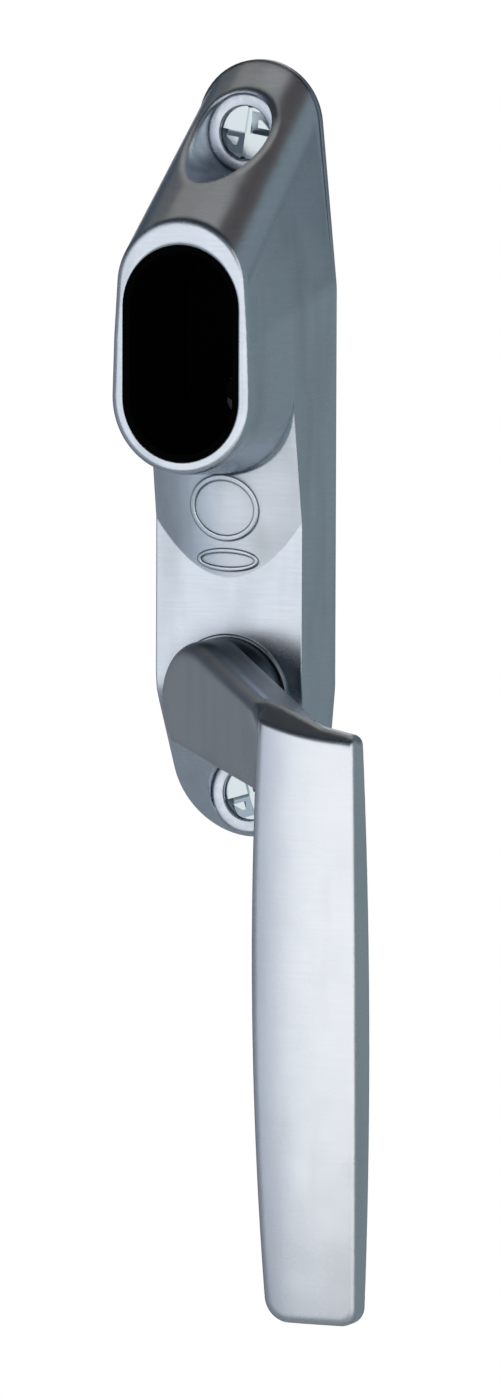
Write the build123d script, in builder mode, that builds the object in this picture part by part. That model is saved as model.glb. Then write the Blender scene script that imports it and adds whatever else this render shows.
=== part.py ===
"""Locking window handle: a die-cast lock housing with a cranked lever, spindle and locking bolt.

Millimetres, +Z up. The origin is the spindle's axis on the sash face, and the room side is -Y,
so a depth is a distance in front of the sash face.
"""
import os
from math import asin, atan2, cos, degrees, hypot, radians, sin, sqrt, tan

from build123d import *

os.makedirs("parts", exist_ok=True)

# Housing plate
plate_width = 28.8
plate_depth = 13.5
draft = 2.0
top_edge = 1.2
foot_edge = 3.0
plate_foot = -25.4
plate_top = 111.0
top_radius = 11.7
top_lip = 0.3
shoulder_z = 71.0
hip_z = 2.0
foot_radius = 13.2
slope_start_z = 1.6
slope_blend = 18.0

# Crowned ramp that lifts the plate's face to the boss
ramp_start_z = 21.2
ramp_rise = 0.165
ramp_crown_radius = 60.0

# Lock boss and its pocket for a cylinder
boss_depth = 34.3
boss_top = 84.9
boss_bottom = 40.8
boss_top_radius = 12.4
boss_waist_bulge = 0.12
boss_bottom_draft = 3.6
boss_round = 1.1
cove_radius = 1.7
cove_sink = 0.5
cove_bite = 0.15
pocket_width = 22.0
pocket_height = 37.7
pocket_centre_z = 61.8
pocket_floor = 9.0
sleeve_wall = 1.2
sleeve_floor = 1.0
sleeve_setback = 0.15
sleeve_clearance = 0.05

# Plain cast frames on the ramp
frame_height = 0.4
round_frame_z = 33.6
round_frame_length = 13.0
round_frame_height = 11.6
round_frame_width = 0.9
oval_frame_z = 24.4
oval_frame_length = 11.6
oval_frame_height = 4.0
oval_frame_width = 0.7

# Mounting screws in their pockets
screw_spacing = 116.0
lower_screw_z = -17.5
upper_seat_depth = 7.5
lower_seat_depth = 5.1
seat_radius = 6.5
seat_height = 1.2
seat_round = 0.6
screw_pocket_radius = 7.0
screw_pocket_draft = 2.0
screw_head_radius = 4.65
screw_head_sink = 1.0
screw_head_rim = 0.2
screw_neck_radius = 2.2
screw_shank_radius = 2.5
screw_tip = 1.5
screw_reach = 22.0
screw_clearance = 0.25
screw_slot_width = 0.9
screw_slot_depth = 0.5
screw_ramp_depth = 1.0
screw_ramp_length = 3.9
upper_screw_turn = 9.0
lower_screw_turn = -17.0

# Handle: hub, slanting neck and barrel-shaped grip
hub_radius = 10.9
hub_disc = 1.1
hub_side_depth = 18.3
hub_top_depth = 21.0
hub_front_round = 4.5
neck_thickness = 9.0
neck_top_fall = 21.8
neck_bottom_fall = 10.5
neck_bottom_offset = 8.3
neck_round = 3.4
neck_edge_break = 0.6
neck_roof_round = 4.0
grip_depth = 45.0
grip_left_x = 19.5
grip_right_x = 37.9
grip_bulge = 1.1
grip_foot_inset = 0.6
grip_knee_x = 31.0
grip_top_fall = 11.0
grip_foot_z = -104.4
grip_crest_z = -33.8
grip_bow_radius = 650.0
grip_crown_radius = 66.0
grip_top_thickness = 3.8
grip_middle_thickness = 5.8
grip_foot_thickness = 7.6
grip_foot_left_radius = 4.5
grip_foot_right_radius = 3.2
grip_top_radius = 2.0
grip_roof_left_drop = 3.9
grip_roof_right_drop = 0.8
grip_front_round = 1.0
grip_back_round = 1.4

# Journal, bush and turret
turret_radius = 11.3
turret_height = 0.5
bush_flange_radius = 10.1
bush_flange = 0.6
thrust_washer_thickness = 0.3
bush_outer_radius = 6.9
journal_radius = 6.0
running_clearance = 0.05
journal_flat = 5.0
journal_end = 1.3

# Spindle and its screw
spindle_square = 7.0
spindle_clearance = 0.05
spindle_front = 20.4
spindle_reach = 20.0
spindle_edge_break = 0.4
socket_corner = 0.6
grub_radius = 2.0
grub_depth = 18.3
grub_key = 2.0
grub_key_depth = 2.0
grub_recess = 0.8

# Locking mechanism behind the plate
cover_back = 0.2
cover_thickness = 1.0
cover_radius = 10.2
cover_top_z = 62.0
cover_clearance = 0.15
cover_hole_radius = 5.6
cover_screw_x = 7.3
cover_screw_low_z = 17.0
cover_screw_high_z = 57.0
cover_screw_radius = 1.25
cover_screw_head_radius = 2.2
cover_screw_length = 6.8
cover_screw_slot = 0.6
cover_screw_slot_depth = 0.5
chamber_radius = 8.9
chamber_roof = 6.9
disc_radius = 8.6
disc_thickness = 2.5
washer_thickness = 0.6
washer_outer_radius = 8.4
seat_clearance = 0.02
ring_thickness = 0.8
ring_outer_radius = 7.6
ring_back = 1.9
ring_opening = 70.0
ring_ear_radius = 1.4
ring_ear_hole = 0.6
ring_ear_reach = 7.1
groove_radius = 5.3
spring_sheet = 0.5
spring_outer_radius = 8.0
notch_width = 5.0
notch_floor = 6.85
quarter_turn = 90.0
stop_radius = 8.1
stop_pin_radius = 0.7
stop_floor = 7.25
stop_play = 2.0
stop_pin_seat = 2.0
stop_pin_gap = 0.3
bolt_width = 8.0
bolt_thickness = 2.4
bolt_guide_clearance = 0.15
bolt_tip_width = 4.6
bolt_tip_length = 6.0
bolt_tip_z = 9.1
bolt_top_z = 60.5
bolt_throw = 2.0
bolt_end_room = 1.2
bolt_corner = 0.8
peg_z = 54.0
peg_radius = 2.0
peg_front = 11.5
peg_window_clearance = 0.5
leaf_length = 24.0
leaf_centre_z = 34.0
leaf_sheet = 0.4
leaf_width = 5.0
leaf_pad = 3.0
leaf_gap = 0.3
rivet_radius = 0.7
rivet_head_radius = 1.2
rivet_head = 0.4
rivet_spread = 2.8

# Worked-out places
sash = Plane.XZ
half_width = plate_width / 2
foot_centre_z = plate_foot + foot_radius
top_centre_z = plate_top - top_radius
upper_screw_z = lower_screw_z + screw_spacing
slope_fall = degrees(atan2(plate_depth - foot_edge, slope_start_z - plate_foot))
slope_far_z = 2 * plate_foot
slope_far_depth = plate_depth - (slope_start_z - slope_far_z) * tan(radians(slope_fall))
boss_low_radius = half_width - boss_depth * tan(radians(draft))
boss_low_z = boss_bottom + boss_low_radius
boss_top_z = boss_top - boss_top_radius
boss_waist_z = (boss_low_z + boss_top_z) / 2
boss_waist_radius = (boss_low_radius + boss_top_radius) / 2 + boss_waist_bulge
edge_inset = top_edge * tan(radians(draft))
plate_inset = plate_depth * tan(radians(draft))
boss_inset = boss_depth * tan(radians(draft))
base_low_z = boss_low_z - (boss_depth - top_edge) * tan(radians(boss_bottom_draft)) + (
    half_width - edge_inset - boss_low_radius
)
ramp_tilt = Plane(
    origin=(0, -plate_depth, ramp_start_z), x_dir=(1, 0, 0), z_dir=(0, -ramp_rise, 1)
)
cove_floor = plate_depth + ramp_rise * (boss_bottom - cove_radius - ramp_start_z) - cove_sink
cove_half_width = half_width - (cove_floor + cove_radius) * tan(radians(draft)) - seat_clearance
pocket_span = pocket_height - pocket_width
turret_top = plate_depth + turret_height
bush_front = turret_top + bush_flange
hub_back = bush_front + thrust_washer_thickness
disc_front = chamber_roof - washer_thickness
disc_back = disc_front - disc_thickness
ring_front = ring_back + ring_thickness
cover_front = cover_back + cover_thickness
bolt_front = disc_front
bolt_back = bolt_front - bolt_thickness
bolt_roof = bolt_front + bolt_guide_clearance
channel_width = bolt_width + 2 * bolt_guide_clearance
channel_top = bolt_top_z + bolt_end_room
peg_window = 2 * (peg_radius + peg_window_clearance)
peg_window_z = peg_z - bolt_throw / 2
leaf_back = bolt_back - leaf_sheet
rivet_z = leaf_centre_z + (leaf_length - leaf_pad) / 2
rivet_places = [(-rivet_spread / 2, rivet_z), (rivet_spread / 2, rivet_z)]
stop_half_angle = degrees(asin(stop_pin_radius / stop_radius)) + stop_play
screw_places = (
    (upper_screw_z, upper_seat_depth, upper_screw_turn),
    (lower_screw_z, lower_seat_depth, lower_screw_turn),
)
cover_screw_places = [
    (x, z) for x in (-cover_screw_x, cover_screw_x) for z in (cover_screw_low_z, cover_screw_high_z)
]
grip_back_top = grip_depth - grip_top_thickness
grip_back_middle = grip_depth - grip_middle_thickness
grip_back_foot = grip_depth - grip_foot_thickness
neck_slope = (grip_depth - hub_side_depth) / (grip_left_x + hub_radius)
neck_shift = neck_thickness * hypot(1, neck_slope) / neck_slope
neck_root_x = neck_shift - hub_radius + (hub_back - hub_side_depth) / neck_slope
hub_reach = 2 * hub_radius
grip_back_join_x = neck_shift - hub_radius + (grip_back_top - hub_side_depth) / neck_slope
neck_top_x = hub_radius * sin(radians(neck_top_fall))
neck_top_z = hub_radius * cos(radians(neck_top_fall))
neck_bottom_x = neck_bottom_offset * sin(radians(neck_bottom_fall))
neck_bottom_z = neck_bottom_offset * cos(radians(neck_bottom_fall))
neck_chord = sqrt(hub_radius**2 - neck_bottom_offset**2)
neck_corner_x = -neck_bottom_x - neck_chord * cos(radians(neck_bottom_fall))
neck_corner_z = -neck_bottom_z + neck_chord * sin(radians(neck_bottom_fall))
hub_low_left = -neck_bottom_z + (hub_reach - neck_bottom_x) * tan(radians(neck_bottom_fall))
hub_low_right = -neck_bottom_z - (hub_reach + neck_bottom_x) * tan(radians(neck_bottom_fall))
grub_low_z = grub_recess - neck_bottom_offset / cos(radians(neck_bottom_fall))
grip_middle_x = (grip_left_x + grip_right_x) / 2
neck_end_top = neck_top_z - (grip_middle_x - neck_top_x) * tan(radians(neck_top_fall))
neck_end_bottom = -neck_bottom_z - (grip_middle_x + neck_bottom_x) * tan(radians(neck_bottom_fall))
grip_left_top = neck_top_z - (grip_left_x - neck_top_x) * tan(radians(neck_top_fall))
grip_knee_z = neck_top_z - (grip_knee_x - neck_top_x) * tan(radians(neck_top_fall))
grip_right_top = grip_knee_z - (grip_right_x - grip_knee_x) * tan(radians(grip_top_fall))
grip_middle_z = (grip_left_top + grip_foot_z) / 2
grip_half_width = (grip_right_x - grip_left_x) / 2
grip_crest_depth = (
    grip_depth + grip_half_width**2 / (2 * grip_crown_radius) + grip_crest_z**2 / (2 * grip_bow_radius)
)
roof_left = Vector(grip_left_x, -grip_depth, grip_left_top - grip_roof_left_drop)
roof_right = Vector(grip_right_x, -grip_depth, grip_right_top - grip_roof_right_drop)
roof_back = Vector(grip_left_x, -grip_back_top, grip_left_top)
grip_roof = Plane(
    roof_left, x_dir=roof_right - roof_left, z_dir=(roof_right - roof_left).cross(roof_back - roof_left)
)

# Housing's outside, without its pockets: plate, sloped foot and lock boss
with BuildPart() as shell:
    # Full outline as a thin foot on the sash
    for depth, inset in ((0, 0), (top_edge, edge_inset)):
        with BuildSketch(sash.offset(depth)):
            with Locations((0, top_centre_z)):
                Circle(top_radius - inset)
            with Locations((0, shoulder_z), (0, hip_z)):
                Circle(half_width - inset)
            with Locations((0, foot_centre_z)):
                Circle(foot_radius - inset)
            make_hull()
    loft(ruled=True)
    # Lower plate
    for depth, inset in ((0, 0), (plate_depth, plate_inset)):
        with BuildSketch(sash.offset(depth)):
            with Locations((0, base_low_z), (0, hip_z)):
                Circle(half_width - inset)
            with Locations((0, foot_centre_z)):
                Circle(foot_radius - inset)
            make_hull()
    loft(ruled=True)
    # Slope that runs out at the plate's lower end, blended into the flat front
    with BuildSketch(Plane.YZ) as slope_side:
        with BuildLine():
            Polyline(
                (-plate_depth, base_low_z),
                (-plate_depth, slope_start_z),
                (-slope_far_depth, slope_far_z),
                (-2 * plate_depth, slope_far_z),
                (-2 * plate_depth, base_low_z),
                close=True,
            )
        make_face()
        kink = slope_side.vertices().sort_by_distance((-plate_depth, slope_start_z))[0]
        fillet(kink, radius=slope_blend)
    extrude(amount=plate_width, both=True, mode=Mode.SUBTRACT)
    # Upper boss, drawn from the plate's round top to the upper half of the lock's rim
    with BuildSketch(sash.offset(top_edge)):
        with Locations((0, top_centre_z)):
            Circle(top_radius - edge_inset - top_lip)
        with Locations((0, shoulder_z)):
            Circle(half_width - edge_inset)
        make_hull()
    with BuildSketch(sash.offset(boss_depth)):
        with Locations((0, boss_top_z)):
            Circle(boss_top_radius)
        with Locations((0, boss_waist_z)):
            Circle(boss_waist_radius)
        make_hull()
    loft(ruled=True)
    # Lower boss, from the plate's sides to the lower half of the rim
    with BuildSketch(sash.offset(top_edge)):
        with Locations((0, shoulder_z), (0, base_low_z)):
            Circle(half_width - edge_inset)
        make_hull()
    with BuildSketch(sash.offset(boss_depth)):
        with Locations((0, boss_waist_z)):
            Circle(boss_waist_radius)
        with Locations((0, boss_low_z)):
            Circle(boss_low_radius)
        make_hull()
    loft(ruled=True)
    fillet(shell.faces().sort_by(Axis.Y)[0].outer_wire().edges(), radius=boss_round)

# The crowned ramp, a shallow tilted cylinder trimmed to the plate's drafted sides
with BuildPart() as ramp:
    for depth, inset in ((0, 0), (boss_depth, boss_inset)):
        with BuildSketch(sash.offset(depth)):
            with Locations((0, base_low_z), (0, hip_z)):
                Circle(half_width - inset)
            make_hull()
    loft(ruled=True)
    with BuildSketch(ramp_tilt):
        with Locations((0, ramp_crown_radius)):
            Circle(ramp_crown_radius)
    extrude(amount=base_low_z - ramp_start_z, mode=Mode.INTERSECT)

# Cove that blends the boss's lower end into the ramp
with BuildPart() as cove:
    for turn in (0, 30, 60, 90):
        depth = cove_floor + cove_radius * (1 - cos(radians(turn)))
        share = (depth - top_edge) / (boss_depth - top_edge)
        spread = cove_radius * (1 - sin(radians(turn))) - cove_bite
        wall = (1 - share) * (half_width - edge_inset) + share * boss_low_radius
        with BuildSketch(sash.offset(depth)):
            with Locations((0, base_low_z + share * (boss_low_z - base_low_z))):
                Circle(wall + spread)
    loft()
    with BuildSketch(sash.offset(cove_floor)):
        with Locations((0, base_low_z), (0, hip_z)):
            Circle(cove_half_width)
        make_hull()
    extrude(amount=cove_radius, mode=Mode.INTERSECT)

# The two plain frames on the ramp stand proud of it by their own height
with BuildPart() as frames:
    with BuildSketch(sash):
        with Locations((0, round_frame_z)):
            Ellipse(round_frame_length / 2, round_frame_height / 2)
            Ellipse(
                round_frame_length / 2 - round_frame_width,
                round_frame_height / 2 - round_frame_width,
                mode=Mode.SUBTRACT,
            )
        with Locations((0, oval_frame_z)):
            Ellipse(oval_frame_length / 2, oval_frame_height / 2)
            Ellipse(
                oval_frame_length / 2 - oval_frame_width,
                oval_frame_height / 2 - oval_frame_width,
                mode=Mode.SUBTRACT,
            )
    extrude(amount=boss_depth)
    with BuildSketch(ramp_tilt.offset(-oval_frame_length)):
        with Locations((0, ramp_crown_radius - frame_height)):
            Circle(ramp_crown_radius)
    extrude(amount=base_low_z, mode=Mode.INTERSECT)

# Housing: one casting, open at the back for the mechanism
with BuildPart() as housing:
    add(shell.part)
    add(ramp.part)
    add(cove.part)
    add(frames.part)
    # Turret under the handle's hub
    with BuildSketch(sash):
        Circle(turret_radius)
    extrude(amount=turret_top)
    # Pocket for a lock cylinder, with a window for the bolt's peg
    with BuildSketch(sash.offset(pocket_floor)):
        with Locations((0, pocket_centre_z)):
            SlotCenterToCenter(pocket_span, pocket_width, rotation=90)
    extrude(amount=boss_depth, mode=Mode.SUBTRACT)
    with BuildSketch(sash):
        with Locations((0, peg_window_z)):
            SlotCenterToCenter(bolt_throw, peg_window, rotation=90)
    extrude(amount=pocket_floor, mode=Mode.SUBTRACT)
    # Screw pockets with raised round seats
    for z, seat, turn in screw_places:
        floor = seat - seat_height
        for depth in (floor, floor + boss_depth):
            with BuildSketch(sash.offset(depth)):
                with Locations((0, z)):
                    Circle(screw_pocket_radius + (depth - floor) * tan(radians(screw_pocket_draft)))
        loft(ruled=True, mode=Mode.SUBTRACT)
        with BuildSketch(sash):
            with Locations((0, z)):
                Circle(seat_radius)
        extrude(amount=seat)
        round_edges = housing.edges().filter_by(GeomType.CIRCLE)
        fillet(round_edges.sort_by_distance((0, -seat, z + seat_radius))[0], radius=seat_round)
        with BuildSketch(sash.offset(seat - screw_head_sink)):
            with Locations((0, z)):
                Circle(screw_head_radius + screw_clearance)
        extrude(amount=screw_head_sink, mode=Mode.SUBTRACT)
        with Locations(Plane((0, screw_head_sink - seat, z), x_dir=(1, 0, 0), z_dir=(0, -1, 0))):
            CounterSinkHole(
                radius=screw_shank_radius + screw_clearance,
                counter_sink_radius=screw_head_radius + screw_clearance,
                counter_sink_angle=90,
            )
    # Bore for the bush, round chamber for the disc, straight channel for the bolt
    with BuildSketch(sash):
        Circle(bush_outer_radius + seat_clearance)
    extrude(amount=turret_top, mode=Mode.SUBTRACT)
    with BuildSketch(sash):
        Circle(chamber_radius)
    extrude(amount=chamber_roof, mode=Mode.SUBTRACT)
    with BuildSketch(sash):
        with Locations((0, channel_top / 2)):
            Rectangle(channel_width, channel_top)
    extrude(amount=bolt_roof, mode=Mode.SUBTRACT)
    # Recess for the cover and holes for its screws and the stop pin
    with BuildSketch(sash):
        with Locations((0, 0), (0, cover_top_z)):
            Circle(cover_radius + cover_clearance)
        make_hull()
    extrude(amount=cover_front, mode=Mode.SUBTRACT)
    with BuildSketch(sash):
        with Locations(cover_screw_places):
            Circle(cover_screw_radius + seat_clearance)
    extrude(amount=cover_back + cover_screw_length + screw_clearance, mode=Mode.SUBTRACT)
    with BuildSketch(sash):
        with Locations((0, -stop_radius)):
            Circle(stop_pin_radius)
    extrude(amount=chamber_roof + stop_pin_seat, mode=Mode.SUBTRACT)
housing.part.label = "housing"
export_step(housing.part, "parts/housing.step")

# Black moulded lining of the pocket
with BuildPart() as cylinder_sleeve:
    with BuildSketch(sash.offset(pocket_floor)):
        with Locations((0, pocket_centre_z)):
            SlotCenterToCenter(pocket_span, pocket_width - 2 * sleeve_clearance, rotation=90)
    extrude(amount=boss_depth - sleeve_setback - pocket_floor)
    with BuildSketch(sash.offset(pocket_floor + sleeve_floor)):
        with Locations((0, pocket_centre_z)):
            sleeve_bore = pocket_width - 2 * (sleeve_clearance + sleeve_wall)
            SlotCenterToCenter(pocket_span, sleeve_bore, rotation=90)
    extrude(amount=boss_depth, mode=Mode.SUBTRACT)
    with BuildSketch(sash.offset(pocket_floor)):
        with Locations((0, peg_window_z)):
            SlotCenterToCenter(bolt_throw, peg_window, rotation=90)
    extrude(amount=sleeve_floor, mode=Mode.SUBTRACT)
cylinder_sleeve.part.label = "cylinder_sleeve"
export_step(cylinder_sleeve.part, "parts/cylinder_sleeve.step")

# Two countersunk one-way screws: a slot and two ramps that only a driving turn can grip
with BuildPart() as mounting_screws:
    for z, seat, turn in screw_places:
        head = seat - screw_head_sink
        neck_depth = head - screw_head_rim - (screw_head_radius - screw_neck_radius)
        with BuildSketch(Plane.YZ):
            with BuildLine():
                Polyline(
                    (-head, z),
                    (-head, z + screw_head_radius),
                    (screw_head_rim - head, z + screw_head_radius),
                    (-neck_depth, z + screw_neck_radius),
                    (0, z + screw_neck_radius),
                    (0, z + screw_shank_radius),
                    (screw_reach - screw_tip, z + screw_shank_radius),
                    (screw_reach, z + screw_shank_radius - screw_tip),
                    (screw_reach, z),
                    close=True,
                )
            make_face()
        revolve(axis=Axis((0, 0, z), (0, 1, 0)))
    for z, seat, turn in screw_places:
        centre = Vector(0, screw_head_sink - seat, z)
        across = Vector(cos(radians(turn)), 0, -sin(radians(turn)))
        along = Vector(sin(radians(turn)), 0, cos(radians(turn)))
        with BuildSketch(Plane(centre, x_dir=across, z_dir=(0, -1, 0))):
            Rectangle(screw_slot_width, 2 * screw_head_radius)
        extrude(amount=-screw_slot_depth, mode=Mode.SUBTRACT)
        for side in (1, -1):
            ramp_foot = centre + across * (side * screw_slot_width / 2)
            with BuildSketch(Plane(ramp_foot, x_dir=along * side, z_dir=across * side)):
                with BuildLine():
                    Polyline((0, 0), (0, -screw_ramp_depth), (screw_ramp_length, 0), close=True)
                make_face()
            extrude(amount=screw_head_radius, mode=Mode.SUBTRACT)
mounting_screws.part.label = "mounting_screws"
export_step(mounting_screws.part, "parts/mounting_screws.step")

# Flanged bush pressed into the turret
with BuildPart() as hub_bush:
    with BuildSketch(sash.offset(chamber_roof)):
        Circle(bush_outer_radius)
    extrude(amount=turret_top - chamber_roof)
    with BuildSketch(sash.offset(turret_top)):
        Circle(bush_flange_radius)
    extrude(amount=bush_flange)
    with BuildSketch(sash.offset(chamber_roof)):
        Circle(journal_radius + running_clearance)
    extrude(amount=bush_front - chamber_roof, mode=Mode.SUBTRACT)
hub_bush.part.label = "hub_bush"
export_step(hub_bush.part, "parts/hub_bush.step")

# Slip washer between the bush and the hub
with BuildPart() as thrust_washer:
    with BuildSketch(sash.offset(bush_front)):
        Circle(bush_flange_radius)
        Circle(journal_radius + running_clearance, mode=Mode.SUBTRACT)
    extrude(amount=thrust_washer_thickness)
thrust_washer.part.label = "thrust_washer"
export_step(thrust_washer.part, "parts/thrust_washer.step")

# Hub: a short drum cut flat along the neck's lower side, behind the neck's root
with BuildPart() as hub:
    with BuildSketch(sash.offset(hub_back)):
        Circle(hub_radius)
        with BuildLine():
            Polyline(
                (-hub_reach, hub_low_left),
                (hub_reach, hub_low_right),
                (hub_reach, -hub_reach),
                (-hub_reach, -hub_reach),
                close=True,
            )
        make_face(mode=Mode.SUBTRACT)
        with Locations((neck_root_x + hub_radius - hub_disc, 0)):
            Rectangle(hub_reach, hub_reach, mode=Mode.INTERSECT)
    extrude(amount=hub_top_depth - hub_back)
    fillet(hub.edges().filter_by(GeomType.CIRCLE).sort_by(Axis.Y)[0], radius=hub_front_round)

# Neck: the front view and the view from above, each pulled through and kept where both agree
with BuildPart() as neck:
    with BuildSketch(sash.offset(hub_back)):
        with BuildLine():
            Line((neck_top_x, neck_top_z), (grip_middle_x, neck_end_top))
            Line((grip_middle_x, neck_end_top), (grip_middle_x, neck_end_bottom))
            Line((grip_middle_x, neck_end_bottom), (neck_corner_x, neck_corner_z))
            ThreePointArc((neck_corner_x, neck_corner_z), (-hub_radius, 0), (neck_top_x, neck_top_z))
        make_face()
    extrude(amount=grip_depth)
    with BuildSketch(Plane.XY):
        with BuildLine():
            Polyline(
                (-hub_radius, -hub_back),
                (-hub_radius, -hub_side_depth),
                (grip_left_x, -grip_depth),
                (grip_middle_x, -grip_depth + grip_back_round),
                (grip_middle_x, -grip_back_top),
                (grip_back_join_x, -grip_back_top),
                (neck_root_x, -hub_back),
                close=True,
            )
        make_face()
    extrude(amount=hub_reach, both=True, mode=Mode.INTERSECT)
    slant = neck.faces().sort_by_distance((0, -hub_side_depth - hub_radius * neck_slope, 0))[0]
    slant_edges = slant.edges().sort_by(Axis.Z)
    fillet(slant_edges[-2:], radius=neck_round)
    slant = neck.faces().sort_by_distance((0, -hub_side_depth - hub_radius * neck_slope, 0))[0]
    fillet(slant.edges().sort_by(Axis.Z)[0], radius=neck_edge_break)
    with BuildSketch(grip_roof):
        Rectangle(4 * grip_right_x, 4 * grip_roof_left_drop)
    extrude(amount=grip_depth, mode=Mode.SUBTRACT)
    roof_crease = neck.edges().sort_by_distance((roof_left + roof_back) / 2)[0]
    fillet(roof_crease, radius=neck_roof_round)

# Grip: bowed along its length and crowned across, trimmed to its barrel outline and tapered back
with BuildPart() as grip:
    with BuildSketch(sash.offset(grip_back_foot - neck_thickness)) as grip_front:
        with BuildLine():
            Polyline(
                (grip_left_x, grip_left_top),
                (grip_knee_x, grip_knee_z),
                (grip_right_x, grip_right_top),
            )
            ThreePointArc(
                (grip_right_x, grip_right_top),
                (grip_right_x - grip_foot_inset / 2 + grip_bulge, grip_middle_z),
                (grip_right_x - grip_foot_inset, grip_foot_z),
            )
            Line(
                (grip_right_x - grip_foot_inset, grip_foot_z),
                (grip_left_x + grip_foot_inset, grip_foot_z),
            )
            ThreePointArc(
                (grip_left_x + grip_foot_inset, grip_foot_z),
                (grip_left_x + grip_foot_inset / 2 - grip_bulge, grip_middle_z),
                (grip_left_x, grip_left_top),
            )
        make_face()
        fillet(
            grip_front.vertices().sort_by_distance((grip_left_x, grip_foot_z))[0],
            radius=grip_foot_left_radius,
        )
        fillet(
            grip_front.vertices().sort_by_distance((grip_right_x, grip_foot_z))[0],
            radius=grip_foot_right_radius,
        )
        fillet(
            grip_front.vertices().sort_by_distance((grip_right_x, grip_right_top))[0],
            radius=grip_top_radius,
        )
    extrude(amount=grip_crest_depth)
    with BuildSketch(Plane.XY.offset(grip_crest_z)):
        with Locations((grip_middle_x, grip_crown_radius - grip_crest_depth)):
            Circle(grip_crown_radius)
        with Locations((grip_middle_x, -grip_crest_depth)):
            Rectangle(4 * grip_half_width, 2 * neck_thickness, mode=Mode.INTERSECT)
    revolve(
        axis=Axis((0, grip_bow_radius - grip_crest_depth, grip_crest_z), (1, 0, 0)),
        mode=Mode.INTERSECT,
    )
    with BuildSketch(Plane.YZ):
        with BuildLine():
            ThreePointArc(
                (-grip_back_top, hub_radius),
                (-grip_back_middle, grip_middle_z),
                (-grip_back_foot, grip_foot_z - hub_radius),
            )
            Polyline(
                (-grip_back_foot, grip_foot_z - hub_radius),
                (-2 * grip_depth, grip_foot_z - hub_radius),
                (-2 * grip_depth, hub_radius),
                (-grip_back_top, hub_radius),
            )
        make_face()
    extrude(amount=2 * grip_right_x, mode=Mode.INTERSECT)
    fillet(grip.faces().sort_by(Axis.Y)[-1].edges(), radius=grip_back_round)
    # Roof that falls forward from the neck's top line to the grip's face
    with BuildSketch(grip_roof):
        Rectangle(4 * grip_right_x, 4 * grip_roof_left_drop)
    extrude(amount=grip_depth, mode=Mode.SUBTRACT)
    fillet(grip.faces().sort_by(Axis.Y)[0].edges(), radius=grip_front_round)

# Lever: hub disc, neck, grip and a hollow journal in one casting
with BuildPart() as lever_handle:
    add(neck.part)
    add(hub.part)
    add(grip.part)
    with BuildSketch(sash.offset(hub_back)):
        Circle(hub_radius)
    extrude(amount=hub_disc)
    with BuildSketch(sash.offset(journal_end)):
        Circle(journal_radius)
    extrude(amount=hub_back - journal_end)
    # Two flats that carry the disc, and the groove of the retaining ring
    with BuildSketch(sash.offset(journal_end)):
        with Locations((journal_flat + journal_radius, 0), (-journal_flat - journal_radius, 0)):
            Rectangle(2 * journal_radius, 2 * journal_radius)
    extrude(amount=disc_front - journal_end, mode=Mode.SUBTRACT)
    with BuildSketch(sash.offset(ring_back)):
        Circle(2 * journal_radius)
        Circle(groove_radius, mode=Mode.SUBTRACT)
    extrude(amount=ring_thickness, mode=Mode.SUBTRACT)
    # Square socket and the hole of the spindle's screw
    with BuildSketch(sash.offset(journal_end)):
        socket_side = spindle_square + 2 * spindle_clearance
        RectangleRounded(socket_side, socket_side, socket_corner)
    extrude(amount=spindle_front - journal_end, mode=Mode.SUBTRACT)
    with BuildSketch(Plane.XY):
        with Locations((0, -grub_depth)):
            Circle(grub_radius + seat_clearance)
    extrude(amount=-hub_reach, mode=Mode.SUBTRACT)
lever_handle.part.label = "lever_handle"
export_step(lever_handle.part, "parts/lever_handle.step")

# Square spindle that reaches into the sash's lock
with BuildPart() as spindle:
    with BuildSketch(sash.offset(-spindle_reach)):
        Rectangle(spindle_square, spindle_square)
    extrude(amount=spindle_reach + spindle_front)
    chamfer(spindle.edges(), length=spindle_edge_break)
spindle.part.label = "spindle"
export_step(spindle.part, "parts/spindle.step")

# Grub screw that holds the spindle in the lever
with BuildPart() as spindle_screw:
    with BuildSketch(Plane.XY.offset(grub_low_z)):
        with Locations((0, -grub_depth)):
            Circle(grub_radius)
    extrude(amount=-spindle_square / 2 - grub_low_z)
    with BuildSketch(Plane.XY.offset(grub_low_z)):
        with Locations((0, -grub_depth)):
            RegularPolygon(grub_key / 2, 6, major_radius=False)
    extrude(amount=grub_key_depth, mode=Mode.SUBTRACT)
spindle_screw.part.label = "spindle_screw"
export_step(spindle_screw.part, "parts/spindle_screw.step")

# Locking disc on the journal's flats: two notches for the bolt and a sector for the stop pin
with BuildPart() as lock_disc:
    with BuildSketch(sash.offset(disc_back)):
        Circle(disc_radius)
        with BuildLine():
            start = PolarLine((0, 0), 2 * disc_radius, 180 - stop_half_angle)
            end = PolarLine((0, 0), 2 * disc_radius, 270 + stop_half_angle)
            Polyline(start @ 1, (-2 * disc_radius, -2 * disc_radius), end @ 1)
        make_face(mode=Mode.SUBTRACT)
        Circle(stop_floor)
        with PolarLocations(disc_radius, 2, 0, quarter_turn, endpoint=True):
            Rectangle(2 * (disc_radius - notch_floor), notch_width, mode=Mode.SUBTRACT)
        with BuildSketch(mode=Mode.SUBTRACT):
            Circle(journal_radius + seat_clearance)
            Rectangle(2 * (journal_flat + seat_clearance), hub_reach, mode=Mode.INTERSECT)
    extrude(amount=disc_thickness)
lock_disc.part.label = "lock_disc"
export_step(lock_disc.part, "parts/lock_disc.step")

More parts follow.
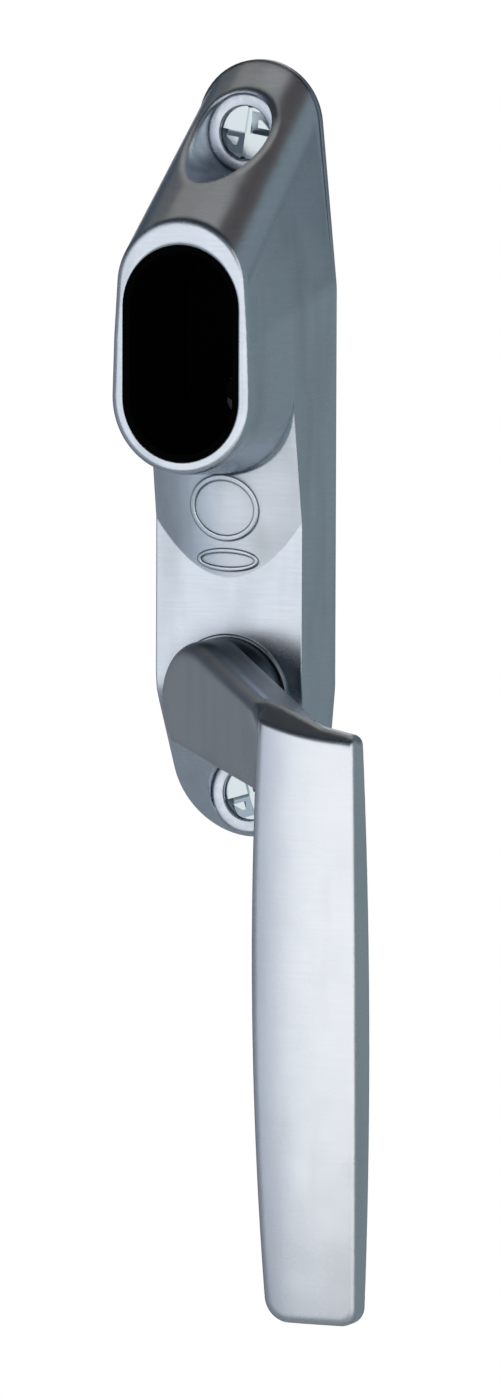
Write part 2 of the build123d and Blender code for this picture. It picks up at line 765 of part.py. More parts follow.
# Friction washer under the disc, kept from turning by the stop pin
with BuildPart() as friction_washer:
    with BuildSketch(sash.offset(disc_front)):
        Circle(washer_outer_radius)
        Circle(journal_radius + running_clearance, mode=Mode.SUBTRACT)
        with Locations((0, -stop_radius)):
            Circle(stop_pin_radius + running_clearance, mode=Mode.SUBTRACT)
    extrude(amount=washer_thickness)
friction_washer.part.label = "friction_washer"
export_step(friction_washer.part, "parts/friction_washer.step")

# Conical disc spring that presses the disc on its washer
with BuildPart() as disc_spring:
    with BuildSketch(Plane.YZ):
        with BuildLine():
            Polyline(
                (-ring_front, journal_radius + running_clearance),
                (-disc_back + spring_sheet, spring_outer_radius),
                (-disc_back, spring_outer_radius),
                (-ring_front - spring_sheet, journal_radius + running_clearance),
                close=True,
            )
        make_face()
    revolve(axis=Axis.Y)
disc_spring.part.label = "disc_spring"
export_step(disc_spring.part, "parts/disc_spring.step")

# Retaining ring with two eared ends
with BuildPart() as retaining_ring:
    with BuildSketch(sash.offset(ring_back)):
        Circle(ring_outer_radius)
        with BuildLine():
            start = PolarLine((0, 0), 2 * ring_outer_radius, 270 - ring_opening / 2)
            end = PolarLine((0, 0), 2 * ring_outer_radius, 270 + ring_opening / 2)
            Line(start @ 1, end @ 1)
        make_face(mode=Mode.SUBTRACT)
        with PolarLocations(ring_ear_reach, 2, 270 - ring_opening / 2, ring_opening, endpoint=True):
            Circle(ring_ear_radius)
            Circle(ring_ear_hole, mode=Mode.SUBTRACT)
        Circle(groove_radius + seat_clearance, mode=Mode.SUBTRACT)
    extrude(amount=ring_thickness)
retaining_ring.part.label = "retaining_ring"
export_step(retaining_ring.part, "parts/retaining_ring.step")

# Stop pin pressed into the chamber's roof
with BuildPart() as stop_pin:
    with BuildSketch(sash.offset(disc_back + stop_pin_gap)):
        with Locations((0, -stop_radius)):
            Circle(stop_pin_radius - seat_clearance)
    extrude(amount=chamber_roof + stop_pin_seat - disc_back - stop_pin_gap)
stop_pin.part.label = "stop_pin"
export_step(stop_pin.part, "parts/stop_pin.step")

# Sliding bolt whose tip drops into the disc's notch
with BuildPart() as lock_bolt:
    with BuildSketch(sash.offset(bolt_back)) as bolt_face:
        body_foot_z = bolt_tip_z + bolt_tip_length
        with Locations((0, (body_foot_z + bolt_top_z) / 2)):
            Rectangle(bolt_width, bolt_top_z - body_foot_z)
        with Locations((0, (bolt_tip_z + body_foot_z) / 2)):
            Rectangle(bolt_tip_width, bolt_tip_length)
        chamfer(bolt_face.vertices().group_by(Axis.Y)[-1], length=bolt_corner)
        with Locations((0, peg_z)):
            Circle(peg_radius + seat_clearance, mode=Mode.SUBTRACT)
        with Locations(rivet_places):
            Circle(rivet_radius + seat_clearance, mode=Mode.SUBTRACT)
    extrude(amount=bolt_thickness)
lock_bolt.part.label = "lock_bolt"
export_step(lock_bolt.part, "parts/lock_bolt.step")

# Peg through the pocket's floor, moved by a lock cylinder's cam
with BuildPart() as drive_peg:
    with BuildSketch(sash.offset(bolt_back)):
        with Locations((0, peg_z)):
            Circle(peg_radius)
    extrude(amount=peg_front - bolt_back)
    chamfer(drive_peg.edges().sort_by(Axis.Y)[0], length=spindle_edge_break)
drive_peg.part.label = "drive_peg"
export_step(drive_peg.part, "parts/drive_peg.step")

# Bowed leaf on the bolt's back that bears towards the cover
with BuildPart() as bolt_spring:
    with BuildSketch(Plane.YZ):
        leaf_low = leaf_centre_z - leaf_length / 2
        leaf_high = leaf_centre_z + leaf_length / 2
        crown = cover_front + leaf_gap
        with BuildLine():
            Line((-bolt_back, leaf_low), (-leaf_back, leaf_low))
            Line((-leaf_back, leaf_low), (-leaf_back, leaf_low + leaf_pad))
            ThreePointArc(
                (-leaf_back, leaf_low + leaf_pad),
                (-crown, leaf_centre_z),
                (-leaf_back, leaf_high - leaf_pad),
            )
            Line((-leaf_back, leaf_high - leaf_pad), (-leaf_back, leaf_high))
            Line((-leaf_back, leaf_high), (-bolt_back, leaf_high))
            Line((-bolt_back, leaf_high), (-bolt_back, leaf_high - leaf_pad))
            ThreePointArc(
                (-bolt_back, leaf_high - leaf_pad),
                (-crown - leaf_sheet, leaf_centre_z),
                (-bolt_back, leaf_low + leaf_pad),
            )
            Line((-bolt_back, leaf_low + leaf_pad), (-bolt_back, leaf_low))
        make_face()
    extrude(amount=leaf_width / 2, both=True)
    with BuildSketch(sash.offset(leaf_back)):
        with Locations(rivet_places):
            Circle(rivet_radius + seat_clearance)
    extrude(amount=leaf_sheet, mode=Mode.SUBTRACT)
bolt_spring.part.label = "bolt_spring"
export_step(bolt_spring.part, "parts/bolt_spring.step")

# Two rivets that hold the leaf's upper end
with BuildPart() as spring_rivets:
    with BuildSketch(sash.offset(leaf_back)):
        with Locations(rivet_places):
            Circle(rivet_radius)
    extrude(amount=leaf_sheet + bolt_thickness)
    with BuildSketch(sash.offset(leaf_back - rivet_head)):
        with Locations(rivet_places):
            Circle(rivet_head_radius)
    extrude(amount=rivet_head)
spring_rivets.part.label = "spring_rivets"
export_step(spring_rivets.part, "parts/spring_rivets.step")

# Back cover let into the housing
with BuildPart() as cover_plate:
    with BuildSketch(sash.offset(cover_back)):
        with Locations((0, 0), (0, cover_top_z)):
            Circle(cover_radius)
        make_hull()
        Circle(cover_hole_radius, mode=Mode.SUBTRACT)
    extrude(amount=cover_thickness)
    for x, z in cover_screw_places:
        with Locations(Plane((x, -cover_back, z), x_dir=(1, 0, 0), z_dir=(0, 1, 0))):
            CounterSinkHole(
                radius=cover_screw_radius + seat_clearance,
                counter_sink_radius=cover_screw_head_radius + seat_clearance,
                counter_sink_angle=90,
            )
cover_plate.part.label = "cover_plate"
export_step(cover_plate.part, "parts/cover_plate.step")

# Four countersunk screws of the cover
with BuildPart() as cover_screws:
    for x, z in cover_screw_places:
        with BuildSketch(Plane.YZ.offset(x)):
            with BuildLine():
                Polyline(
                    (-cover_back, z),
                    (-cover_back, z + cover_screw_head_radius),
                    (cover_screw_radius - cover_screw_head_radius - cover_back, z + cover_screw_radius),
                    (-cover_back - cover_screw_length, z + cover_screw_radius),
                    (-cover_back - cover_screw_length, z),
                    close=True,
                )
            make_face()
        revolve(axis=Axis((x, 0, z), (0, 1, 0)))
    for x, z in cover_screw_places:
        with BuildSketch(sash.offset(cover_back)):
            with Locations((x, z)):
                Rectangle(cover_screw_slot, 2 * cover_screw_head_radius)
        extrude(amount=cover_screw_slot_depth, mode=Mode.SUBTRACT)
cover_screws.part.label = "cover_screws"
export_step(cover_screws.part, "parts/cover_screws.step")
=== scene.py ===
"""Locking window handle: finishes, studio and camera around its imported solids. Metres, +Z up."""

import math

import bmesh
import bpy
from mathutils import Matrix, Vector


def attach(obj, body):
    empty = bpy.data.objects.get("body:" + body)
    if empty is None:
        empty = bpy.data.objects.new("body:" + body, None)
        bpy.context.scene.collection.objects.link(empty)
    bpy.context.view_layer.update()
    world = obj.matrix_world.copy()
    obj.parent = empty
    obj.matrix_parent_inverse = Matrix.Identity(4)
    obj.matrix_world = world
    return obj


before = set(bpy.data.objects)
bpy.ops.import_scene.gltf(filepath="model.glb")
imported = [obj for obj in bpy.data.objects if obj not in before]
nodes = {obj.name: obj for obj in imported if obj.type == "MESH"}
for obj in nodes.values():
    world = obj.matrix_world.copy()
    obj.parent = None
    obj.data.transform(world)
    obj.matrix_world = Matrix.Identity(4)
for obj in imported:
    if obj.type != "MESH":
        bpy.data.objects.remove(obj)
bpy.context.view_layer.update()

# Housing: one aluminium pressure casting with the plate, the lock boss and the screw seats.
# It is ground across its width with a fine belt, plated to a satin finish and left unmarked.


def linear(code):
    """Linear colour of an sRGB hex value, with full alpha."""
    parts = [int(code[i : i + 2], 16) / 255 for i in (1, 3, 5)]
    return [c / 12.92 if c <= 0.04045 else ((c + 0.055) / 1.055) ** 2.4 for c in parts] + [1.0]


def bare_material(name):
    """A material whose node tree is still empty."""
    material = bpy.data.materials.new(name)
    material.use_nodes = True
    material.node_tree.nodes.clear()
    return material


def add_node(tree, kind, inputs, **settings):
    """One node in a material's tree, with its settings, plain input values and links."""
    made = tree.nodes.new(kind)
    for name, value in settings.items():
        setattr(made, name, value)
    for name, value in inputs.items():
        if isinstance(value, bpy.types.NodeSocket):
            tree.links.new(value, made.inputs[name])
        else:
            made.inputs[name].default_value = value
    return made


def dress(material, *pieces):
    """Give one material to the solids of these names."""
    for piece in pieces:
        nodes[piece].data.materials.clear()
        nodes[piece].data.materials.append(material)


# Satin plated casting: a metal with a broad, soft gloss. The belt leaves lines across the piece, drawn
# coarser than they are so that they show, and grinding by hand leaves it wavy. The plating has a faint
# cloud in its gloss and grey stains that run down it. It rounds off sharp edges, most at the thin top
# end. Its colour has painted shade, darker in recesses and close to other parts. Most of a noise lies
# between NOISE_LOW and NOISE_HIGH.
NOISE_LOW, NOISE_HIGH = 0.3, 0.7
LINE_PITCH, LINE_LENGTH = 0.0004, 0.00714
CLOUD_SIZE = 0.0091
STAIN_WIDTH, STAIN_LENGTH = 0.0077, 0.0333
WAVE_SIZE, WAVE_HEIGHT = 0.0143, 0.0004
PLAIN_HEIGHT, WORN_HEIGHT = 0.076, 0.088
PLAIN_ROUNDING, WORN_ROUNDING = 0.0004, 0.0022
PAINTED_SHADE_REACH = 0.009
SHADE_SAMPLES = 12
satin = bare_material("satin_plated_casting")
tree = satin.node_tree
place = add_node(tree, "ShaderNodeTexCoord", {})
across = add_node(tree, "ShaderNodeSeparateXYZ", {"Vector": place.outputs["Object"]}, name="across")
stretch = add_node(
    tree,
    "ShaderNodeMapping",
    {
        "Vector": place.outputs["Object"],
        "Scale": (1 / LINE_LENGTH, 1 / LINE_LENGTH, 1 / LINE_PITCH),
    },
)
lines = add_node(
    tree, "ShaderNodeTexNoise", {"Vector": stretch.outputs["Vector"], "Scale": 1.0, "Detail": 3.0}
)
tint = add_node(
    tree,
    "ShaderNodeMix",
    {"Factor": lines.outputs["Fac"], "A": linear("#DAE4F1"), "B": linear("#EEF3FA")},
    data_type="RGBA",
    name="tint",
)
runs = add_node(
    tree,
    "ShaderNodeMapping",
    {
        "Vector": place.outputs["Object"],
        "Scale": (1 / STAIN_WIDTH, 1 / STAIN_WIDTH, 1 / STAIN_LENGTH),
    },
)
stain = add_node(
    tree, "ShaderNodeTexNoise", {"Vector": runs.outputs["Vector"], "Scale": 1.0, "Detail": 2.0}
)
faint = add_node(
    tree,
    "ShaderNodeMapRange",
    {
        "Value": stain.outputs["Fac"],
        "From Min": 0.5,
        "From Max": 0.8,
        "To Min": 0.0,
        "To Max": 0.45,
    },
    name="faint",
)
stained = add_node(
    tree,
    "ShaderNodeMix",
    {"Factor": faint.outputs["Result"], "A": tint.outputs["Result"], "B": linear("#B4BBBF")},
    data_type="RGBA",
)
# Painted shade: ambient occlusion mixes the colour towards dark #46525E in recesses and near other
# parts.
shade_reach = add_node(
    tree,
    "ShaderNodeAmbientOcclusion",
    {"Distance": PAINTED_SHADE_REACH},
    samples=SHADE_SAMPLES,
    name="shade_reach",
)
painted_shade_mask = add_node(
    tree,
    "ShaderNodeMapRange",
    {
        "Value": shade_reach.outputs["AO"],
        "From Min": 0.35,
        "From Max": 0.78,
        "To Min": 0.85,
        "To Max": 0.0,
    },
    name="painted_shade_mask",
)
painted_shade_colour = add_node(
    tree,
    "ShaderNodeMix",
    {"Factor": painted_shade_mask.outputs["Result"], "A": stained.outputs["Result"], "B": linear("#46525E")},
    data_type="RGBA",
    name="painted_shade_colour",
)
cloud = add_node(
    tree,
    "ShaderNodeTexNoise",
    {"Vector": place.outputs["Object"], "Scale": 1 / CLOUD_SIZE, "Detail": 2.0},
)
gloss = add_node(
    tree,
    "ShaderNodeMapRange",
    {
        "Value": cloud.outputs["Fac"],
        "From Min": NOISE_LOW,
        "From Max": NOISE_HIGH,
        "To Min": 0.24,
        "To Max": 0.29,
    },
    name="gloss",
)
wear = add_node(
    tree,
    "ShaderNodeMapRange",
    {
        "Value": across.outputs["Z"],
        "From Min": PLAIN_HEIGHT,
        "From Max": WORN_HEIGHT,
        "To Min": PLAIN_ROUNDING,
        "To Max": WORN_ROUNDING,
    },
)
edges = add_node(
    tree,
    "ShaderNodeBevel",
    {"Radius": wear.outputs["Result"]},
    samples=SHADE_SAMPLES,
    name="edges",
)
swell = add_node(
    tree,
    "ShaderNodeTexNoise",
    {"Vector": place.outputs["Object"], "Scale": 1 / WAVE_SIZE, "Detail": 1.0},
)
waves = add_node(
    tree,
    "ShaderNodeBump",
    {
        "Height": swell.outputs["Fac"],
        "Strength": 0.35,
        "Distance": WAVE_HEIGHT,
        "Normal": edges.outputs["Normal"],
    },
)
body = add_node(
    tree,
    "ShaderNodeBsdfPrincipled",
    {
        "Base Color": painted_shade_colour.outputs["Result"],
        "Metallic": 1.0,
        "Roughness": gloss.outputs["Result"],
        "Normal": waves.outputs["Normal"],
    },
    name="body",
)
add_node(tree, "ShaderNodeOutputMaterial", {"Surface": body.outputs["BSDF"]})
dress(satin, "housing")

# Cylinder sleeve: the lining of the oval pocket, moulded in ABS with a matt spark texture. Its
# near-black colour is painted shade, standing for the dark depth of the open pocket. It is pushed in
# from the front and keeps a lock cylinder from rattling. The texture is drawn coarser than it is, so
# that it shows.
SPARK_SIZE, SPARK_DEPTH = 0.0004, 0.00005
black = bare_material("black_abs_as_pocket_shade")
tree = black.node_tree
place = add_node(tree, "ShaderNodeTexCoord", {})
spark = add_node(
    tree,
    "ShaderNodeTexNoise",
    {"Vector": place.outputs["Object"], "Scale": 1 / SPARK_SIZE, "Detail": 2.0},
)
pits = add_node(
    tree,
    "ShaderNodeBump",
    {"Height": spark.outputs["Fac"], "Strength": 0.2, "Distance": SPARK_DEPTH},
)
body = add_node(
    tree,
    "ShaderNodeBsdfPrincipled",
    {
        # Near-black: painted shade for the depth of the open pocket.
        "Base Color": linear("#030303"),
        "Roughness": 0.85,
        "Specular IOR Level": 0.06,
        "Normal": pits.outputs["Normal"],
    },
)
add_node(tree, "ShaderNodeOutputMaterial", {"Surface": body.outputs["BSDF"]})
dress(black, "cylinder_sleeve")

# Mounting screws: two countersunk steel screws with one-way heads, cold headed and zinc plated.
# The same bright plate, with a soft ripple of 1 mm, covers the pressed back cover and its screws.
RIPPLE_SIZE, RIPPLE_DEPTH = 0.0011, 0.00008
zinc = bare_material("bright_zinc_plate")
tree = zinc.node_tree
place = add_node(tree, "ShaderNodeTexCoord", {})
ripple = add_node(
    tree,
    "ShaderNodeTexNoise",
    {"Vector": place.outputs["Object"], "Scale": 1 / RIPPLE_SIZE, "Detail": 2.0},
)
dents = add_node(
    tree,
    "ShaderNodeBump",
    {"Height": ripple.outputs["Fac"], "Strength": 0.1, "Distance": RIPPLE_DEPTH},
)
body = add_node(
    tree,
    "ShaderNodeBsdfPrincipled",
    {
        "Base Color": linear("#DDE7EB"),
        "Metallic": 1.0,
        "Roughness": 0.17,
        "Normal": dents.outputs["Normal"],
    },
)
add_node(tree, "ShaderNodeOutputMaterial", {"Surface": body.outputs["BSDF"]})
dress(zinc, "mounting_screws", "cover_plate", "cover_screws")

# Screw lands: each one-way head has a small flat land in both its ramps, left by the heading punch.
# They are three-sided, of one piece with the head and zinc plated with it.


def add_piece(name, mesh, material):
    """A new object, in place in the scene, from a finished bmesh and its material."""
    data = bpy.data.meshes.new(name)
    mesh.to_mesh(data)
    mesh.free()
    data.materials.append(material)
    piece = bpy.data.objects.new(name, data)
    bpy.context.scene.collection.objects.link(piece)
    return piece


UPPER_SCREW, LOWER_SCREW = 0.0985, -0.0175
LAND_DROP, LAND_DEPTH = 0.00035, 0.00075
LAND_CORNERS = ((-0.0039, -0.00115), (-0.00175, -0.00115), (-0.00175, -0.0031))
for name, height, face, lean in (
    ("upper_lands", UPPER_SCREW, -0.0065, 9.0),
    ("lower_lands", LOWER_SCREW, -0.0041, -17.0),
):
    lands = bmesh.new()
    for opposite in (0.0, 180.0):
        front = [lands.verts.new((x, face + LAND_DROP, z)) for x, z in LAND_CORNERS]
        grown = bmesh.ops.extrude_face_region(lands, geom=[lands.faces.new(front)])["geom"]
        back = [item for item in grown if isinstance(item, bmesh.types.BMVert)]
        bmesh.ops.translate(lands, vec=(0.0, LAND_DEPTH, 0.0), verts=back)
        turn = Matrix.Rotation(math.radians(opposite + lean), 3, "Y")
        bmesh.ops.rotate(lands, cent=(0.0, 0.0, 0.0), matrix=turn, verts=front + back)
    bmesh.ops.translate(lands, vec=(0.0, 0.0, height), verts=lands.verts)
    bmesh.ops.recalc_face_normals(lands, faces=lands.faces)
    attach(add_piece(name, lands, zinc), "housing")

# Screw seats: the two collars that the housing's casting has round the screw heads, ground bright.
# Each is a ring with a rounded rim, over the plainer seat of the solid, with fine 1 mm scuffs.
SCUFF_SIZE = 0.0011
SEAT_BORE, SEAT_FLAT, SEAT_ROUNDING, SEAT_DEPTH = 0.00472, 0.0065, 0.0007, 0.0012
SEAT_LIP = ((0.0, 0.0003), (0.00006, 0.00006), (0.00023, 0.0))
SEAT_BENDS = (0.0, 0.3, 0.6, 0.9, 1.2, math.pi / 2)
SEAT_STEPS = 72
ground = bare_material("ground_plated_collar")
tree = ground.node_tree
place = add_node(tree, "ShaderNodeTexCoord", {})
scuff = add_node(
    tree,
    "ShaderNodeTexNoise",
    {"Vector": place.outputs["Object"], "Scale": 1 / SCUFF_SIZE, "Detail": 3.0},
)
shine = add_node(
    tree,
    "ShaderNodeMapRange",
    {
        "Value": scuff.outputs["Fac"],
        "From Min": NOISE_LOW,
        "From Max": NOISE_HIGH,
        "To Min": 0.24,
        "To Max": 0.34,
    },
)
body = add_node(
    tree,
    "ShaderNodeBsdfPrincipled",
    {"Base Color": linear("#DDE4EE"), "Metallic": 1.0, "Roughness": shine.outputs["Result"]},
)
add_node(tree, "ShaderNodeOutputMaterial", {"Surface": body.outputs["BSDF"]})
rim = [(SEAT_BORE + out, back) for out, back in SEAT_LIP]
for bend in SEAT_BENDS:
    radius = SEAT_FLAT + SEAT_ROUNDING * math.sin(bend)
    rim.append((radius, SEAT_ROUNDING * (1.0 - math.cos(bend))))
rim += [(SEAT_FLAT + SEAT_ROUNDING, SEAT_DEPTH), (SEAT_BORE, SEAT_DEPTH)]
for name, height, face in (
    ("upper_seat", UPPER_SCREW, -0.00755),
    ("lower_seat", LOWER_SCREW, -0.00515),
):
    collar = bmesh.new()
    corners = [collar.verts.new((radius, face + back, height)) for radius, back in rim]
    outline = [collar.edges.new((corners[i - 1], corners[i])) for i in range(len(corners))]
    bmesh.ops.spin(
        collar,
        geom=corners + outline,
        cent=(0.0, 0.0, height),
        axis=(0.0, 1.0, 0.0),
        angle=2 * math.pi,
        steps=SEAT_STEPS,
        use_merge=True,
    )
    bmesh.ops.recalc_face_normals(collar, faces=collar.faces)
    for side in collar.faces:
        side.smooth = True
    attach(add_piece(name, collar, ground), "housing")

# Hub bush: a flanged bearing turned from brass rod and pressed into the turret.
# Turning leaves fine rings round its axis. A wave texture's scale is a tenth of pi over their pitch.
RING_PITCH, RING_DEPTH = 0.0002, 0.00002
brass = bare_material("turned_brass")
tree = brass.node_tree
place = add_node(tree, "ShaderNodeTexCoord", {})
rings = add_node(
    tree,
    "ShaderNodeTexWave",
    {"Vector": place.outputs["Object"], "Scale": math.pi / 10 / RING_PITCH, "Distortion": 0.4},
    wave_type="RINGS",
    rings_direction="Y",
)
tool_marks = add_node(
    tree,
    "ShaderNodeBump",
    {"Height": rings.outputs["Fac"], "Strength": 0.15, "Distance": RING_DEPTH},
)
body = add_node(
    tree,
    "ShaderNodeBsdfPrincipled",
    {
        "Base Color": linear("#D9B877"),
        "Metallic": 1.0,
        "Roughness": 0.3,
        "Normal": tool_marks.outputs["Normal"],
    },
)
add_node(tree, "ShaderNodeOutputMaterial", {"Surface": body.outputs["BSDF"]})
dress(brass, "hub_bush")

# Thrust washer and friction washer: stamped from natural acetal sheet, for the hub and for the disc.
# The sheet is milky and slightly waxy, with a soft mottle from its rolling.
MOTTLE_SIZE = 0.001
acetal = bare_material("natural_acetal_sheet")
tree = acetal.node_tree
place = add_node(tree, "ShaderNodeTexCoord", {})
mottle = add_node(
    tree,
    "ShaderNodeTexNoise",
    {"Vector": place.outputs["Object"], "Scale": 1 / MOTTLE_SIZE, "Detail": 1.0},
)
milk = add_node(
    tree,
    "ShaderNodeMix",
    {"Factor": mottle.outputs["Fac"], "A": linear("#D8D5CA"), "B": linear("#E6E3DA")},
    data_type="RGBA",
)
body = add_node(
    tree,
    "ShaderNodeBsdfPrincipled",
    {"Base Color": milk.outputs["Result"], "Roughness": 0.45, "IOR": 1.48},
)
add_node(tree, "ShaderNodeOutputMaterial", {"Surface": body.outputs["BSDF"]})
dress(acetal, "thrust_washer", "friction_washer")

# Lever: hub, slanting neck and bowed grip cast in one piece, ground and plated as the housing is.
# A hollow journal on its back turns in the bush. The hand keeps the front of the grip brighter, and
# the neck behind it is duller, with rounder edges. Its recesses get a darker painted shade.
GRIP_FRONT, NECK_BACK = -0.044, -0.034
GRIP_ROUNDING, NECK_ROUNDING = 0.0014, 0.0028
NECK_SHADE_REACH = 0.04
NECK_DULLNESS = 0.1
worn_and_shaded = satin.copy()
worn_and_shaded.name = "satin_plated_lever"
tree = worn_and_shaded.node_tree
across = tree.nodes["across"]
wear = add_node(
    tree,
    "ShaderNodeMapRange",
    {
        "Value": across.outputs["Y"],
        "From Min": GRIP_FRONT,
        "From Max": NECK_BACK,
        "To Min": GRIP_ROUNDING,
        "To Max": NECK_ROUNDING,
    },
)
tree.links.new(wear.outputs["Result"], tree.nodes["edges"].inputs["Radius"])
matt = add_node(
    tree,
    "ShaderNodeMapRange",
    {
        "Value": across.outputs["Y"],
        "From Min": GRIP_FRONT,
        "From Max": NECK_BACK,
        "To Min": 0.0,
        "To Max": NECK_DULLNESS,
    },
)
handled = add_node(
    tree,
    "ShaderNodeMath",
    {0: tree.nodes["gloss"].outputs["Result"], 1: matt.outputs["Result"]},
    operation="ADD",
)
tree.links.new(handled.outputs["Value"], tree.nodes["body"].inputs["Roughness"])
# Painted shade on the lever: occlusion is sought further out and darkens more, towards #36434F. The
# tint is lighter and the stains fainter.
for kept, socket, value in (
    ("shade_reach", "Distance", NECK_SHADE_REACH),
    ("painted_shade_mask", "From Min", 0.78),
    ("painted_shade_mask", "From Max", 0.98),
    ("painted_shade_mask", "To Min", 1.0),
    ("painted_shade_colour", "B", linear("#36434F")),
    ("tint", "A", linear("#ECF1F8")),
    ("tint", "B", linear("#F4F7FC")),
    ("faint", "To Max", 0.2),
):
    tree.nodes[kept].inputs[socket].default_value = value
dress(worn_and_shaded, "lever_handle")

# Spindle, disc, stop pin, bolt and rivets: cold-drawn and stamped bright steel, lightly oiled.
# Drawing and stamping leave fine marks along the pieces.
MARK_PITCH, MARK_LENGTH, MARK_DEPTH = 0.0003, 0.005, 0.00003
steel = bare_material("drawn_bright_steel")
tree = steel.node_tree
place = add_node(tree, "ShaderNodeTexCoord", {})
stretch = add_node(
    tree,
    "ShaderNodeMapping",
    {
        "Vector": place.outputs["Object"],
        "Scale": (1 / MARK_PITCH, 1 / MARK_LENGTH, 1 / MARK_PITCH),
    },
)
marks = add_node(
    tree, "ShaderNodeTexNoise", {"Vector": stretch.outputs["Vector"], "Scale": 1.0, "Detail": 2.0}
)
drawn = add_node(
    tree,
    "ShaderNodeBump",
    {"Height": marks.outputs["Fac"], "Strength": 0.15, "Distance": MARK_DEPTH},
)
body = add_node(
    tree,
    "ShaderNodeBsdfPrincipled",
    {
        "Base Color": linear("#C3C5C6"),
        "Metallic": 1.0,
        "Roughness": 0.32,
        "Normal": drawn.outputs["Normal"],
    },
)
add_node(tree, "ShaderNodeOutputMaterial", {"Surface": body.outputs["BSDF"]})
dress(steel, "spindle", "lock_disc", "stop_pin", "lock_bolt", "spring_rivets")

# Disc spring and leaf: stamped from rolled and tempered spring strip, greyer than bright steel.
# A straw and blue temper cloud shows in its colour.
TEMPER_SIZE = 0.004
strip = bare_material("tempered_spring_strip")
tree = strip.node_tree
place = add_node(tree, "ShaderNodeTexCoord", {})
temper = add_node(
    tree,
    "ShaderNodeTexNoise",
    {"Vector": place.outputs["Object"], "Scale": 1 / TEMPER_SIZE, "Detail": 1.0},
)
colour = add_node(
    tree,
    "ShaderNodeMix",
    {"Factor": temper.outputs["Fac"], "A": linear("#8C8F96"), "B": linear("#A39E94")},
    data_type="RGBA",
)
body = add_node(
    tree,
    "ShaderNodeBsdfPrincipled",
    {"Base Color": colour.outputs["Result"], "Metallic": 1.0, "Roughness": 0.35},
)
add_node(tree, "ShaderNodeOutputMaterial", {"Surface": body.outputs["BSDF"]})
dress(strip, "disc_spring", "bolt_spring")

# Grub screw, retaining ring and drive peg: hardened steel with a black oxide finish, oiled.
# The oxide is a dull blue-black with a fine grain.
GRAIN_SIZE = 0.0005
oxide = bare_material("black_oxide_steel")
tree = oxide.node_tree
place = add_node(tree, "ShaderNodeTexCoord", {})
speck = add_node(
    tree,
    "ShaderNodeTexNoise",
    {"Vector": place.outputs["Object"], "Scale": 1 / GRAIN_SIZE, "Detail": 2.0},
)
dull = add_node(
    tree,
    "ShaderNodeMapRange",
    {
        "Value": speck.outputs["Fac"],
        "From Min": NOISE_LOW,
        "From Max": NOISE_HIGH,
        "To Min": 0.5,
        "To Max": 0.65,
    },
)
body = add_node(
    tree,
    "ShaderNodeBsdfPrincipled",
    {
        "Base Color": linear("#08080A"),
        "Roughness": dull.outputs["Result"],
        "Specular IOR Level": 0.08,
    },
)
add_node(tree, "ShaderNodeOutputMaterial", {"Surface": body.outputs["BSDF"]})
dress(oxide, "spindle_screw", "retaining_ring", "drive_peg")

# Studio floor: a painted board, pale and almost matt, well below the handle.
# It lies under the picture and lights the metal from below.
FLOOR_RADIUS, FLOOR_HEIGHT = 2.0, -0.8
pale = bpy.data.materials.new("pale_painted_floor")
pale.use_nodes = True
paint = pale.node_tree.nodes["Principled BSDF"]
paint.inputs["Base Color"].default_value = linear("#F2F2F0")
paint.inputs["Roughness"].default_value = 0.8
board = bmesh.new()
bmesh.ops.create_circle(board, cap_ends=True, segments=64, radius=FLOOR_RADIUS)
bmesh.ops.translate(board, verts=board.verts, vec=(0.0, 0.0, FLOOR_HEIGHT))
add_piece("floor", board, pale)

# Studio cloths: grey felt hung on all sides, outside the picture and unseen by the camera.
# Each gives its tone to the faces of the metal that mirror it. A row has the cloth's centre, the way
# that it faces, its width and height, and the darker and the lighter tone of its folds.
FOLD_WIDTH = 0.2
CLOTHS = {
    "right_cloth": ((0.62, 0.3, 0.0), (1.0, 0.0, 0.0), 2.1, 2.0, "#667072", "#86949A"),
    "left_cloth": ((-0.75, 0.43, -0.3), (1.0, 0.0, 0.0), 1.06, 1.0, "#66696D", "#7C8085"),
    "near_left_cloth": ((-0.75, -0.53, -0.3), (1.0, 0.0, 0.0), 0.86, 1.0, "#7A8189", "#8C939B"),
    "upper_left_cloth": ((-0.75, 0.0, 0.42), (1.0, 0.0, 0.0), 1.9, 0.44, "#3C434B", "#4E565F"),
    "front_left_cloth": ((-0.7, -1.03, -0.1), (0.6, 0.8, 0.0), 0.22, 1.2, "#B8C2CE", "#C8D2DE"),
    "rear_cloth": ((0.45, 0.9, -0.4), (0.0, 1.0, 0.0), 1.3, 1.1, "#6C7679", "#869297"),
    "high_rear_cloth": ((0.45, 0.88, 0.6), (0.0, 1.0, 0.0), 1.3, 1.0, "#454E56", "#5C6771"),
    "rear_left_cloth": ((-0.52, 0.95, 0.0), (0.0, 1.0, 0.0), 0.66, 2.0, "#B2BAC1", "#C6CDD3"),
    "high_left_cloth": ((-0.62, 0.24, 0.66), (0.66, -0.25, -0.7), 1.3, 0.5, "#575859", "#686A6B"),
    "top_right_cloth": ((0.51, 0.5, 0.68), (0.0, 0.0, 1.0), 0.7, 1.1, "#453F3E", "#5A5452"),
    "top_cloth": ((0.01, 0.5, 0.68), (0.0, 0.0, 1.0), 0.3, 1.1, "#8C8A86", "#A4A29E"),
    "top_left_cloth": ((-0.32, 0.5, 0.68), (0.0, 0.0, 1.0), 0.36, 1.1, "#827F7A", "#96938E"),
    "top_far_left_cloth": ((-0.675, 0.5, 0.68), (0.0, 0.0, 1.0), 0.35, 1.1, "#4C4E51", "#5E6063"),
    "high_front_cloth": ((0.0, -0.5, 0.7), (0.0, 0.0, 1.0), 1.9, 0.9, "#22262A", "#32373C"),
    "front_cloth": ((-0.4, -1.3, 0.74), (0.3, 0.95, -0.4), 2.2, 0.84, "#4C545E", "#626B76"),
    "low_front_cloth": ((-0.3, -0.72, -0.66), (0.3, 0.6, 0.7), 1.1, 0.56, "#6D757C", "#8A9299"),
}
